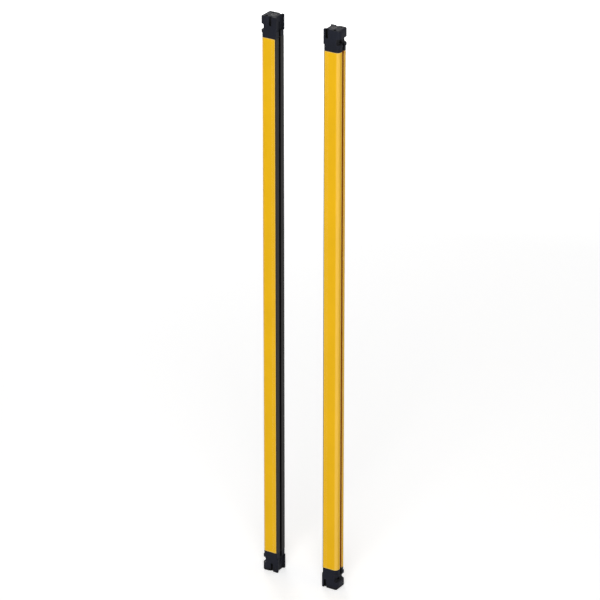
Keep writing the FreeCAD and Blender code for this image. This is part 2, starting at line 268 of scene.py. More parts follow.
def modify(piece, kind, **settings):
    """Adds a modifier, sets it and applies it."""
    select_only(piece)
    bpy.ops.object.modifier_add(type=kind)
    modifier = piece.modifiers[-1]
    for key, value in settings.items():
        setattr(modifier, key, value)
    bpy.ops.object.modifier_apply(modifier=modifier.name)
    return piece


def combine(piece, other, operation):
    """Cuts the other shape out of the piece or adds it, and removes the other."""
    modify(piece, "BOOLEAN", operation=operation, solver="EXACT", object=other)
    bpy.data.objects.remove(other)
    return piece


def repeat(piece, count, step):
    return modify(piece, "ARRAY", count=count, use_relative_offset=False, use_constant_offset=True,
                  constant_offset_displace=step)


def duplicate(piece, name):
    """A copy with its own mesh."""
    select_only(piece)
    bpy.ops.object.duplicate(linked=False)
    return named(bpy.context.active_object, name)


def copy_to(piece, name, place, turn):
    """A copy turned about the origin and then moved."""
    copied = duplicate(piece, name)
    copied.location, copied.rotation_euler = place, turn
    return settle(copied)


def join(pieces, name):
    select_only(pieces[0])
    for piece in pieces[1:]:
        piece.select_set(True)
    bpy.ops.object.join()
    return named(bpy.context.active_object, name)


def merged_copy(node, name):
    """A copy of a CAD node's shape as one clean closed mesh."""
    piece = duplicate(CAD_NODES[node], name)
    for key in list(piece.keys()):
        del piece[key]
    bpy.ops.mesh.customdata_custom_splitnormals_clear()
    edit_faces(piece, all_faces)
    bpy.ops.mesh.remove_doubles(threshold=SAME_POINT)
    bpy.ops.mesh.dissolve_limited(angle_limit=FLAT_JOIN)
    close_edit()
    return piece


def hand_over(piece, nodes, material=None):
    """Finished: the piece rides with the bars and stands for its CAD nodes."""
    if material:
        paint(piece, material)
    select_only(piece)
    bpy.ops.object.shade_smooth_by_angle(angle=SMOOTH_ANGLE)
    modify(piece, "WEIGHTED_NORMAL", keep_sharp=True)
    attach(piece, "root")
    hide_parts(*nodes)


def box_of(node):
    """The lowest and highest corner of a CAD node and its middle."""
    low, high = (Vector(corner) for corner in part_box(node))
    return low, high, (low + high) / 2


# ---- node helpers ----
def add_node(tree, kind, inputs=None, **settings):
    """Adds a node, sets it, and fills or links its inputs."""
    node = tree.nodes.new(kind)
    for key, value in settings.items():
        setattr(node, key, value)
    for key, value in (inputs or {}).items():
        if isinstance(value, bpy.types.NodeSocket):
            tree.links.new(value, node.inputs[key])
        else:
            node.inputs[key].default_value = value
    return node


def calculate(tree, operation, first, second=0.0, clamp=False):
    return add_node(tree, "ShaderNodeMath", {0: first, 1: second}, operation=operation,
                    use_clamp=clamp).outputs[0]


def times(tree, first, second, clamp=False):
    return calculate(tree, "MULTIPLY", first, second, clamp)


def plus(tree, first, second):
    return calculate(tree, "ADD", first, second)


def remap(tree, value, source, target=(0.0, 1.0)):
    """Turns the source range of a value into the target range."""
    return add_node(tree, "ShaderNodeMapRange",
                    {"Value": value, "From Min": source[0], "From Max": source[1],
                     "To Min": target[0], "To Max": target[1]}).outputs[0]


def opaque(values):
    return tuple(values) + (1.0,)


def shade(values, amount):
    """The colour darker, or paler up to white."""
    return tuple(min(1.0, amount * value) for value in values)


def blend(tree, factor, first, second):
    """Mixes two colours, each a fixed one or a socket."""
    first, second = (value if isinstance(value, bpy.types.NodeSocket) else opaque(value)
                     for value in (first, second))
    return add_node(tree, "ShaderNodeMix", {0: factor, 6: first, 7: second},
                    data_type="RGBA").outputs[2]


def object_point(tree, scale=(1.0, 1.0, 1.0)):
    place = add_node(tree, "ShaderNodeTexCoord").outputs["Object"]
    return add_node(tree, "ShaderNodeMapping", {"Vector": place, "Scale": scale}).outputs[0]


def surface_normal(tree):
    return add_node(tree, "ShaderNodeNewGeometry").outputs["Normal"]


def noise(tree, vector, scale, detail=2.0, roughness=0.5):
    return add_node(tree, "ShaderNodeTexNoise", {"Vector": vector, "Scale": scale, "Detail": detail,
                                                 "Roughness": roughness}).outputs["Fac"]


# ---- shared effects, each built once as a node group ----
def wire_coat_grain(tree, given):
    """The fine orange peel or sand skin of a coated surface, and its slow change of tone."""
    finer, slower = 3.3, 0.02
    place = object_point(tree)
    coarse = noise(tree, place, given["Scale"])
    fine = noise(tree, place, times(tree, given["Scale"], finer), detail=3.0, roughness=0.6)
    tone = noise(tree, place, times(tree, given["Scale"], slower), detail=3.0)
    return plus(tree, coarse, times(tree, fine, given["Fine Share"])), tone


def wire_die_lines(tree, given):
    """Faint lines that an extrusion die leaves along the bar, and broader bands of tone."""
    broader, drawn_out = 0.22, 0.004
    along = object_point(tree, (1.0, 1.0, drawn_out))
    fine = noise(tree, along, given["Scale"], detail=4.0, roughness=0.65)
    broad = noise(tree, along, times(tree, given["Scale"], broader), detail=1.0)
    return fine, remap(tree, broad, (0.3, 0.7))


def wire_edge_wear(tree, given):
    """Edges where a finish is thin or rubbed, broken up so that it is never an even line; on the
    powder coat it is also a painted highlight.
    """
    rounded = add_node(tree, "ShaderNodeBevel", {"Radius": given["Reach"]}, samples=6)
    agreement = add_node(tree, "ShaderNodeVectorMath",
                         {0: rounded.outputs["Normal"], 1: surface_normal(tree)},
                         operation="DOT_PRODUCT").outputs["Value"]
    edge = remap(tree, agreement, (0.99, 0.86))
    patches = noise(tree, object_point(tree), given["Scale"], detail=5.0, roughness=0.65)
    broken = remap(tree, patches, (0.35, 0.65), (given["Evenness"], 1.0))
    return (times(tree, edge, broken, clamp=True),)


def wire_corner_highlight(tree, given):
    """Painted highlight: a mask on the rounded upright corners between two sides of a bar, where
    the paint is drawn paler.
    """
    parts = add_node(tree, "ShaderNodeSeparateXYZ", {0: surface_normal(tree)}).outputs
    both = calculate(tree, "ABSOLUTE", times(tree, parts["X"], parts["Y"]))
    return (remap(tree, both, (given["Start"], given["Full"])),)


def wire_recess_shade(tree, given):
    """Painted shade: grooves, slots and channels darkened by how closed in they are, by ambient
    occlusion.
    """
    open_sky = add_node(tree, "ShaderNodeAmbientOcclusion", {"Distance": given["Reach"]}, samples=8)
    return (remap(tree, open_sky.outputs["AO"], (given["Open"], given["Closed"])),)


def wire_dust(tree, given):
    """Dust that settles in patches on faces that look up."""
    up = add_node(tree, "ShaderNodeSeparateXYZ", {0: surface_normal(tree)}).outputs["Z"]
    cloud = noise(tree, object_point(tree), given["Scale"], detail=6.0, roughness=0.62)
    patches = remap(tree, cloud, (0.38, 0.72))
    settled = times(tree, remap(tree, up, (0.25, 1.0)), patches, clamp=True)
    return (times(tree, settled, given["Amount"]),)


def wire_smears(tree, given):
    """Soft smears from handling, which only change the gloss."""
    drawn_out = 0.35
    smear = noise(tree, object_point(tree, (1.0, 1.0, drawn_out)), given["Scale"], detail=5.0,
                  roughness=0.55)
    return (remap(tree, smear, (0.4, 0.75)),)


def wire_tracks(tree, given):
    """Copper tracks under the solder mask, with bare round pads between them."""
    drawn_out, gap_share, pad_radius = 0.28, 0.55, 0.17
    cells = add_node(tree, "ShaderNodeTexVoronoi",
                     {"Vector": object_point(tree, (1.0, 1.0, drawn_out)),
                      "Scale": given["Track Scale"]}, distance="MANHATTAN").outputs["Distance"]
    stripes = calculate(tree, "PINGPONG", cells, given["Track Width"])
    gap = times(tree, given["Track Width"], gap_share)
    dots = add_node(tree, "ShaderNodeTexVoronoi",
                    {"Vector": object_point(tree), "Scale": given["Pad Scale"],
                     "Randomness": 0.75}).outputs["Distance"]
    return (calculate(tree, "GREATER_THAN", stripes, gap),
            calculate(tree, "LESS_THAN", dots, pad_radius))


# name: (wiring, inputs with their defaults, outputs)
EFFECTS = {
    "Coat Grain": (wire_coat_grain, {"Scale": 800.0, "Fine Share": 0.4}, ("Height", "Tone")),
    "Die Lines": (wire_die_lines, {"Scale": 1800.0}, ("Lines", "Bands")),
    "Edge Wear": (wire_edge_wear, {"Reach": 0.0006, "Scale": 220.0, "Evenness": 0.4}, ("Wear",)),
    "Rounded Corner": (wire_corner_highlight, {"Start": 0.12, "Full": 0.42}, ("Bend",)),
    "Recess": (wire_recess_shade, {"Reach": 0.006, "Open": 0.93, "Closed": 0.55}, ("Depth",)),
    "Dust": (wire_dust, {"Scale": 160.0, "Amount": 0.1}, ("Dust",)),
    "Handling Smears": (wire_smears, {"Scale": 30.0}, ("Smear",)),
    "Board Tracks": (wire_tracks, {"Track Scale": 260.0, "Track Width": 0.13, "Pad Scale": 420.0},
                     ("Track", "Pad")),
}


def build_effect(name):
    """The shader node group of that name, with its named inputs and outputs."""
    wire, inputs, outputs = EFFECTS[name]
    group = bpy.data.node_groups.new(name, "ShaderNodeTree")
    for label, default in inputs.items():
        socket = group.interface.new_socket(label, in_out="INPUT", socket_type="NodeSocketFloat")
        socket.default_value = default
    for label in outputs:
        group.interface.new_socket(label, in_out="OUTPUT", socket_type="NodeSocketFloat")
    inlet = group.nodes.new("NodeGroupInput")
    outlet = group.nodes.new("NodeGroupOutput")
    for label, socket in zip(outputs, wire(group, inlet.outputs)):
        group.links.new(socket, outlet.inputs[label])
    return group


def effect(tree, name, **values):
    """Places an effect in a material with the material's own values."""
    node = tree.nodes.new("ShaderNodeGroup")
    node.node_tree = bpy.data.node_groups.get(name) or build_effect(name)
    for key, value in values.items():
        node.inputs[key.replace("_", " ").title()].default_value = value
    return node.outputs


# ---- materials, each the colour, roughness, height, relief and perhaps metal of its surface ----
def covered(tree, tone, above, name, most=1.0, **values):
    """The tone, with the colour above it where the effect of that name says, at most so much."""
    mask = effect(tree, name, **values)[0]
    return blend(tree, times(tree, mask, most) if most < 1.0 else mask, tone, above)


def mottled(tree, tone, first, second):
    """Two tones in large soft patches."""
    return blend(tree, remap(tree, tone, (0.35, 0.65)), first, second)


def grained(tree, scale, fine_share, heights, roughness, relief):
    """A fine grain: its slow change of tone, and the roughness, height and relief it gives."""
    grain = effect(tree, "Coat Grain", scale=scale, fine_share=fine_share)
    height = grain["Height"]
    return grain["Tone"], (remap(tree, height, heights, roughness), height, relief)


def powder_coat(tree, finish):
    dust_dulling, line_height, rough = 0.6, 0.18, finish.paint_roughness
    grain = effect(tree, "Coat Grain", scale=820.0, fine_share=0.3)
    lines = effect(tree, "Die Lines", scale=1500.0)["Lines"]
    dust = effect(tree, "Dust", scale=140.0, amount=0.12)["Dust"]
    smear = effect(tree, "Handling Smears", scale=24.0)["Smear"]
    tone = mottled(tree, grain["Tone"], shade(finish.paint, 0.955), finish.paint)
    # Painted highlight: the rounded corners drawn in the paler colour.
    tone = covered(tree, tone, finish.thin_paint_and_highlight, "Rounded Corner", most=0.28)
    # Partly thin paint over the edges, partly a painted highlight along them.
    tone = covered(tree, tone, finish.thin_paint_and_highlight, "Edge Wear", most=0.95, reach=0.0026, scale=180.0,
                   evenness=0.75)
    # Painted shade: the slot darkened by ambient occlusion.
    tone = covered(tree, tone, finish.paint_recess_shade, "Recess", reach=0.009, closed=0.6)
    gloss = remap(tree, smear, (0.0, 1.0), (rough - 0.03, rough + 0.06))
    return (blend(tree, dust, tone, finish.dust),
            plus(tree, gloss, times(tree, dust, dust_dulling)),
            plus(tree, grain["Height"], times(tree, lines, line_height)), 30 * MICRON)


def black_anodised(tree, finish):
    smear_dulling, rough = 0.07, finish.case_roughness
    lines = effect(tree, "Die Lines", scale=2600.0)
    smear = effect(tree, "Handling Smears", scale=40.0)["Smear"]
    tone = blend(tree, lines["Bands"], finish.case_black, shade(finish.case_black, 1.35))
    tone = covered(tree, tone, finish.case_rubbed, "Edge Wear", most=0.55, reach=0.0004,
                   scale=260.0, evenness=0.5)
    # Painted shade: the grooves darkened by ambient occlusion.
    tone = covered(tree, tone, finish.recess_shade_black, "Recess")
    tone = covered(tree, tone, finish.dust, "Dust", scale=150.0, amount=0.08)
    streak = remap(tree, lines["Lines"], (0.3, 0.7), (rough - 0.06, rough + 0.06))
    return (tone, plus(tree, streak, times(tree, smear, smear_dulling)), lines["Lines"],
            12 * MICRON)


def cast_cap_paint(tree, finish):
    rough = finish.cap_roughness
    tone, skin = grained(tree, 1500.0, 0.9, (0.5, 1.4), (rough - 0.07, rough + 0.08), 50 * MICRON)
    tone = mottled(tree, tone, finish.cap_grey, shade(finish.cap_grey, 1.45))
    tone = covered(tree, tone, finish.cap_rubbed, "Edge Wear", most=0.5, reach=0.0005, scale=320.0,
                   evenness=0.3)
    # Painted shade: the channels and slots darkened by ambient occlusion.
    tone = covered(tree, tone, finish.recess_shade_black, "Recess", reach=0.010, closed=0.5)
    return covered(tree, tone, finish.dust, "Dust", scale=210.0, amount=0.05), *skin


def infrared_window(tree, finish):
    smear = effect(tree, "Handling Smears", scale=55.0)["Smear"]
    lines = effect(tree, "Die Lines", scale=900.0)
    return (blend(tree, lines["Bands"], finish.window_tint, shade(finish.window_tint, 0.8)),
            remap(tree, smear, (0.0, 1.0), (0.05, 0.14)), lines["Lines"], 3 * MICRON)


def clear_lens(tree, finish):
    flow = noise(tree, object_point(tree, (1.0, 1.0, 0.3)), 180.0)
    return (blend(tree, flow, finish.lens_clear, shade(finish.lens_clear, 0.94)),
            remap(tree, flow, (0.3, 0.7), (0.03, 0.08)), flow, 4 * MICRON)


def status_lamp(tree, finish):
    flow = noise(tree, object_point(tree), 2400.0, detail=3.0)
    return (blend(tree, flow, finish.lamp, shade(finish.lamp, 1.12)),
            remap(tree, flow, (0.3, 0.7), (0.14, 0.26)), flow, 4 * MICRON)


def gasket_rubber(tree, finish):
    tone, skin = grained(tree, 2600.0, 1.0, (0.5, 1.5), (0.66, 0.84), 30 * MICRON)
    tone = blend(tree, tone, finish.rubber, shade(finish.rubber, 1.8))
    return covered(tree, tone, finish.dust, "Dust", scale=300.0, amount=0.3), *skin


def screw_steel(tree, finish):
    tone, skin = grained(tree, 5200.0, 0.8, (0.5, 1.4), (0.24, 0.42), 6 * MICRON)
    tone = blend(tree, tone, shade(finish.steel, 0.72), finish.steel)
    return covered(tree, tone, shade(finish.steel, 1.4), "Edge Wear", reach=0.0003, scale=900.0,
                   evenness=0.4), *skin


def contact_plating(tree, finish):
    tone, skin = grained(tree, 7000.0, 0.6, (0.4, 1.2), (0.2, 0.34), 3 * MICRON)
    return blend(tree, tone, shade(finish.gold, 0.8), finish.gold), *skin


def diode_carrier(tree, finish):
    tone, skin = grained(tree, 5200.0, 0.6, (0.4, 1.2), (0.38, 0.52), 6 * MICRON)
    return blend(tree, tone, shade(finish.ceramic, 0.86), finish.ceramic), *skin


def moulded_black(tree, finish):
    tone, skin = grained(tree, 4200.0, 0.8, (0.5, 1.4), (0.45, 0.62), 10 * MICRON)
    tone = blend(tree, tone, finish.epoxy, shade(finish.epoxy, 2.2))
    return covered(tree, tone, shade(finish.epoxy, 4.0), "Edge Wear", most=0.5, reach=0.00015,
                   scale=900.0, evenness=0.5), *skin


def circuit_board(tree, finish):
    grain_height = 0.1
    copper = effect(tree, "Board Tracks")
    grain = effect(tree, "Coat Grain", scale=3000.0, fine_share=0.5)["Height"]
    mask = blend(tree, copper["Track"], finish.board_green, finish.board_track)
    raised = calculate(tree, "MAXIMUM", copper["Track"], copper["Pad"])
    return (blend(tree, copper["Pad"], mask, finish.gold),
            remap(tree, grain, (0.4, 1.2), (0.3, 0.44)),
            plus(tree, raised, times(tree, grain, grain_height)), 30 * MICRON, copper["Pad"])


def lead_sheath(tree, finish):
    cores_scale, grain_height = 250.0, 0.15
    grain = effect(tree, "Coat Grain", scale=2600.0, fine_share=0.6)["Height"]
    across = object_point(tree, (0.0, 1.0, 0.0))
    cores = add_node(tree, "ShaderNodeTexWave", {"Vector": across, "Scale": cores_scale},
                     bands_direction="Y").outputs["Fac"]
    return (blend(tree, cores, shade(finish.sheath, 0.6), finish.sheath),
            remap(tree, grain, (0.4, 1.3), (0.42, 0.56)),
            plus(tree, cores, times(tree, grain, grain_height)), 120 * MICRON)


# name: (surface, the constant values that stand on the shader's own sockets)
MATERIALS = {
    "Powder Coat": (powder_coat, {"IOR": 1.5, "Specular IOR Level": 0.17}),
    "Black Anodised": (black_anodised, {"IOR": 1.45, "Specular IOR Level": 0.16}),
    "Cast Cap Paint": (cast_cap_paint, {"IOR": 1.46, "Specular IOR Level": 0.15}),
    "Infrared Window": (infrared_window, {"IOR": 1.49, "Transmission Weight": 1.0,
                                          "Specular IOR Level": 0.1}),
    "Clear Lens": (clear_lens, {"IOR": 1.49, "Transmission Weight": 1.0}),
    "Status Lamp": (status_lamp, {"IOR": 1.5, "Transmission Weight": 0.55}),
    "Gasket Rubber": (gasket_rubber, {"IOR": 1.48}),
    "Screw Steel": (screw_steel, {"Metallic": 1.0}),
    "Contact Plating": (contact_plating, {"Metallic": 1.0}),
    "Diode Carrier": (diode_carrier, {"IOR": 1.55}),
    "Moulded Black": (moulded_black, {"IOR": 1.5}),
    "Circuit Board": (circuit_board, {"IOR": 1.5}),
    "Lead Sheath": (lead_sheath, {"IOR": 1.5}),
}


def new_material(name, constants):
    material = bpy.data.materials.new(name)
    material.use_nodes = True
    tree = material.node_tree
    shader = next(node for node in tree.nodes if node.type == "BSDF_PRINCIPLED")
    for key, value in constants.items():
        shader.inputs[key].default_value = value
    return material, tree, shader


def build_material(name):
    """The material of that name; its height from 0 to 1 becomes relief of a depth in metres."""
    surface, constants = MATERIALS[name]
    material, tree, shader = new_material(name, constants)
    colour, roughness, height, relief, *metal = surface(tree, bpy.context.scene.curtain_finish)
    bump = add_node(tree, "ShaderNodeBump", {"Height": height, "Distance": relief})
    fed = {"Base Color": colour, "Roughness": roughness, "Normal": bump.outputs[0]}
    fed.update(("Metallic", socket) for socket in metal)
    for key, socket in fed.items():
        tree.links.new(socket, shader.inputs[key])
    return material


def paint(thing, name):
    """Puts the material of that name in every slot of a CAD node or a new piece."""
    material = bpy.data.materials.get(name) or build_material(name)
    if not thing.material_slots:
        thing.data.materials.append(material)
    for slot in thing.material_slots:
        slot.material = material


def paint_nodes(name, *nodes):
    """Gives CAD nodes of both bars their material; a node not found stops the script."""
    for bar in BARS:
        for node in nodes:
            paint(CAD_NODES[bar + "_" + node], name)


# ---- operators, one for each piece or group of like pieces ----
class CURTAIN_OT_extrusions(bpy.types.Operator):
    """Model the channels and the front cases with their flanges over the channels' wall ends"""
    bl_idname = "curtain.extrusions"
    bl_label = "Extrusions"

    def execute(self, context):
        sizes = context.scene.curtain_sizes
        for bar in BARS:
            low, high, centre = box_of(bar + "_enclosure")
            front = high.x if bar == "emitter" else low.x
            outward = math.copysign(1.0, front - centre.x)
            self.channel(bar, front - outward * (sizes.flange_depth + sizes.flange_gap), outward)
            self.case(bar, front, outward, sizes)
        return {"FINISHED"}

    def channel(self, bar, wall_end, outward):
        channel = merged_copy(bar + "_enclosure", bar + "_enclosure_coated")
        edit_faces(channel, all_faces)
        bpy.ops.mesh.bisect(plane_co=(wall_end, 0.0, 0.0), plane_no=(outward, 0.0, 0.0),
                            use_fill=True, clear_outer=True)
        close_edit()
        hand_over(channel, [bar + "_enclosure"], "Powder Coat")

    def case(self, bar, front, outward, sizes):
        low, high, centre = box_of(bar + "_enclosure")
        node = bar + "_inner_case"
        case = merged_copy(node, node + "_flanged")
        lip = high.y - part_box(node)[1][1] + sizes.flange_root
        size = (sizes.flange_depth, lip, high.z - low.z)
        for side in (-1.0, 1.0):
            place = (front - outward * size[0] / 2, side * (high.y - lip / 2), centre.z)
            combine(case, add_block("flange", size, place), "UNION")

        def on_front_corner(point):
            return abs(point.y) > high.y - SAME_PLANE and outward * (point.x - front) > -SAME_PLANE

        round_edges(case, lambda a, b: on_front_corner(a) and on_front_corner(b),
                    sizes.flange_round, 3)
        hand_over(case, [node], "Black Anodised")


def model_softened(part, finished, radius, material):
    """The part at both ends of each bar, with its sharp edges rounded."""
    for bar in BARS:
        for end in ENDS:
            node = bar + "_" + end + "_" + part
            piece = merged_copy(node, node + "_" + finished)
            modify(piece, "BEVEL", width=radius, segments=2, limit_method="ANGLE",
                   angle_limit=CAST_CORNER)
            edit_faces(piece, all_faces)
            bpy.ops.mesh.remove_doubles(threshold=SAME_POINT)
            close_edit()
            hand_over(piece, [node], material)


class CURTAIN_OT_end_caps(bpy.types.Operator):
    """Model the four cast end caps with broken edges"""
    bl_idname = "curtain.end_caps"
    bl_label = "End Caps"

    def execute(self, context):
        model_softened("cap", "cast", context.scene.curtain_sizes.cap_edge,
                       "Cast Cap Paint")
        return {"FINISHED"}


class CURTAIN_OT_gaskets(bpy.types.Operator):
    """Model the rubber gaskets between the channels and the caps"""
    bl_idname = "curtain.gaskets"
    bl_label = "Gaskets"

    def execute(self, context):
        model_softened("gasket", "moulded", context.scene.curtain_sizes.gasket_edge,
                       "Gasket Rubber")
        return {"FINISHED"}


class CURTAIN_OT_cap_screws(bpy.types.Operator):
    """Model the socket-head screws that hold the caps"""
    bl_idname = "curtain.cap_screws"
    bl_label = "Cap Screws"
    head_share = 0.9  # height of the head against its radius
    end_share = 0.72  # width of the narrowed end against the shank
    resting_turn = math.radians(17.0)  # how far a tightened socket stands off square

    def execute(self, context):
        sizes = context.scene.curtain_sizes
        low, high, centre = box_of("emitter_top_cap_screws")
        head_radius = (high.x - low.x) / 2
        pattern = self.screw(sizes, head_radius, high.z - low.z)
        for bar in BARS:
            for end in ENDS:
                node = bar + "_" + end + "_cap_screws"
                low, high, centre = box_of(node)
                level, turn = (high.z, 0.0) if end == "top" else (low.z, math.pi)
                pair = [copy_to(pattern, node + "_part",
                                (centre.x, side * (high.y - head_radius), level),
                                (turn, 0.0, self.resting_turn * side)) for side in (-1, 1)]
                hand_over(join(pair, node + "_steel"), [node], "Screw Steel")
        bpy.data.objects.remove(pattern)
        return {"FINISHED"}

    def screw(self, sizes, head_radius, screw_length):
        """A screw with the top of its head at the origin and its shank pointing down."""
        head_height = self.head_share * head_radius
        screw = add_disc("screw", head_radius, head_height, (0.0, 0.0, -head_height / 2))
        edit_faces(screw, facing(DOWN))
        bpy.ops.mesh.inset(thickness=head_radius - sizes.shank_radius)
        push(head_height - screw_length + sizes.screw_rim)
        push(-sizes.screw_rim)
        narrowed = (self.end_share, self.end_share, 1.0)
        bpy.ops.transform.resize(value=narrowed, center_override=ORIGIN)
        close_edit()
        round_edges(screw, lambda a, b: min(a.z, b.z) > -SAME_POINT, sizes.screw_rim, 3)
        socket = add_disc("socket", sizes.hex_corner, 2 * sizes.hex_depth, ORIGIN, vertices=6)
        return combine(screw, socket, "DIFFERENCE")


class CURTAIN_OT_port_covers(bpy.types.Operator):
    """Model the slotted covers of the top ports"""
    bl_idname = "curtain.port_covers"
    bl_label = "Port Covers"
    slot_rounding = 0.49  # radius of the slot's ends against its width

    def execute(self, context):
        sizes = context.scene.curtain_sizes
        for bar in BARS:
            node = bar + "_series_port_cover"
            low, high, centre = box_of(node)
            cover = add_disc(node + "_turned", (high.x - low.x) / 2, high.z - low.z, centre,
                             vertices=72)
            inset_faces(cover, facing(UP), sizes.cover_rim, sizes.cover_recess, sizes.cover_recess)
            top = high.z - SAME_POINT
            round_edges(cover, lambda a, b: min(a.z, b.z) > top, sizes.cover_recess / 2)
            size = (sizes.coin_slot_length, sizes.coin_slot_width, 2 * sizes.coin_slot_depth)
            slot = add_block("slot", size, (centre.x, centre.y, high.z))
            round_edges(slot, lambda a, b: abs(a.z - b.z) > sizes.coin_slot_depth,
                        self.slot_rounding * sizes.coin_slot_width, 6)
            combine(cover, slot, "DIFFERENCE")
            hand_over(cover, [node], "Moulded Black")
        return {"FINISHED"}


class CURTAIN_OT_cable_ports(bpy.types.Operator):
    """Model the contact inserts and contacts of the cable ports"""
    bl_idname = "curtain.cable_ports"
    bl_label = "Cable Ports"
    hole_share = 1.25  # radius of a contact's hole against the contact
    wall_share = 0.35  # wall of a contact's socket against its radius
    slope_share = 0.4  # slope inside the insert's rim against its depth

    def execute(self, context):
        sizes = context.scene.curtain_sizes
        turn = 2 * math.pi / sizes.contact_count
        for bar in BARS:
            low, high, centre = box_of(bar + "_connector_insert")
            spots = [(centre.x + sizes.contact_circle * math.cos(i * turn),
                      centre.y + sizes.contact_circle * math.sin(i * turn))
                     for i in range(sizes.contact_count)]
            self.insert(bar + "_connector_insert", sizes, spots)
            self.contacts(bar + "_connector_contacts", sizes, spots)
        paint_nodes("Lead Sheath", "connector_lead")
        return {"FINISHED"}

    def insert(self, node, sizes, spots):
        low, high, centre = box_of(node)
        radius, depth = (high.x - low.x) / 2, high.z - low.z
        insert = add_disc(node + "_keyed", radius, depth, centre, vertices=64)
        slope = self.slope_share * sizes.insert_recess
        inset_faces(insert, facing(DOWN), sizes.insert_rim, slope, sizes.insert_recess)
        holes = join([add_disc("hole", self.hole_share * sizes.contact_radius, 1.2 * depth,
                               (x, y, low.z), vertices=16) for x, y in spots], "holes")
        combine(insert, holes, "DIFFERENCE")
        key = add_block("key", (3 * sizes.insert_rim, 2 * sizes.insert_rim, depth),
                        (centre.x + radius, centre.y, low.z))
        combine(insert, key, "DIFFERENCE")
        hand_over(insert, [node], "Moulded Black")

    def contacts(self, node, sizes, spots):
        low, high, centre = box_of(node)
        pins = []
        for x, y in spots:
            pin = add_disc("pin", sizes.contact_radius, high.z - low.z, (x, y, centre.z),
                           vertices=16)
            edit_faces(pin, facing(DOWN))
            bpy.ops.mesh.inset(thickness=self.wall_share * sizes.contact_radius)
            push(4 * sizes.contact_radius)
            close_edit()
            pins.append(pin)
        hand_over(join(pins, node + "_plated"), [node], "Contact Plating")


class CURTAIN_OT_optics(bpy.types.Operator):
    """Give the windows, lens strips and shading ladders their finish"""
    bl_idname = "curtain.optics"
    bl_label = "Finish Optics"

    def execute(self, context):
        paint_nodes("Infrared Window", "front_window")
        paint_nodes("Clear Lens", "lens_strip")
        paint_nodes("Moulded Black", "optics_holder")
        return {"FINISHED"}


def standing_block(name, width, depth, corner, dish=None):
    """A square block on the plane x = 0, facing +X; a dish is its face's rim, slope and depth."""
    block = add_block(name, (depth, width, width), (depth / 2, 0.0, 0.0))
    if dish:
        inset_faces(block, facing(FORWARD), *dish)
    round_edges(block, lambda a, b: abs(a.x - b.x) > 0.6 * depth, corner)
    return block


def dome(name, radius, height, back):
    """Half a flattened ball that stands on the plane x = back and faces +X."""
    ball = add_piece(name, bpy.ops.mesh.primitive_uv_sphere_add, segments=12, ring_count=8,
                     radius=radius, scale=(1.0, 1.0, height / radius), location=ORIGIN)
    edit_faces(ball, all_faces)
    bpy.ops.mesh.bisect(plane_co=ORIGIN, plane_no=UP, clear_inner=True, use_fill=True)
    close_edit()
    ball.rotation_euler = (0.0, math.pi / 2, 0.0)
    ball.location = (back, 0.0, 0.0)
    return settle(ball)


def square_size(node):
    """Width and depth of the square pieces that a CAD node holds in a row."""
    low, high, centre = box_of(node)
    return high.y - low.y, high.x - low.x


def domed(name, base, lens, lens_material):
    """A ceramic base and the lens that stands on it, as one pattern."""
    paint(base, "Diode Carrier")
    paint(lens, lens_material)
    return join([base, lens], name)


def finish_row(pattern, node, name, pitch):
    """Turns the pattern to its bar, puts it on the node's lowest place and repeats it upwards."""
    low, high, centre = box_of(node)
    back, turn = (low.x, 0.0) if node.startswith("emitter") else (high.x, math.pi)
    count = int((high.z - low.z) / pitch) + 1
    size = (high.z - low.z) - (count - 1) * pitch
    first = copy_to(pattern, name, (back, centre.y, low.z + size / 2), (0.0, 0.0, turn))
    hand_over(repeat(first, count, (0.0, 0.0, pitch)), [node])
    bpy.data.objects.remove(pattern)


class CURTAIN_OT_beam_diodes(bpy.types.Operator):
    """Model the domed emitting diodes and the flat receiving diodes"""
    bl_idname = "curtain.beam_diodes"
    bl_label = "Beam Diodes"

    def execute(self, context):
        pitch = context.scene.curtain_sizes.beam_pitch
        width, height = square_size("emitter_leds")
        carrier = standing_block("carrier", width, 0.45 * height, 0.06 * width,
                                 (0.05 * width, 0.03 * width, 0.06 * height))
        lens = dome("lens", 0.4 * width, 0.6 * height, 0.4 * height)
        finish_row(domed("diode", carrier, lens, "Clear Lens"), "emitter_leds",
                   "emitter_leds_domed", pitch)

        width, height = square_size("receiver_photodiodes")
        body = standing_block("body", width, height, 0.05 * width,
                              (0.1 * width, 0.04 * width, 0.12 * height))
        paint(body, "Moulded Black")
        finish_row(body, "receiver_photodiodes", "receiver_photodiodes_flat", pitch)
        return {"FINISHED"}


class CURTAIN_OT_status_lamps(bpy.types.Operator):
    """Model the status lamps behind the windows"""
    bl_idname = "curtain.status_lamps"
    bl_label = "Status Lamps"

    def execute(self, context):
        pitch = context.scene.curtain_sizes.lamp_pitch
        for bar in BARS:
            node = bar + "_indicator_lights"
            width, height = square_size(node)
            base = standing_block("base", width, 0.5 * height, 0.08 * width)
            lens = dome("lens", 0.42 * width, 0.5 * height, 0.5 * height)
            finish_row(domed("lamp", base, lens, "Status Lamp"), node, node + "_domed",
                       pitch)
        return {"FINISHED"}


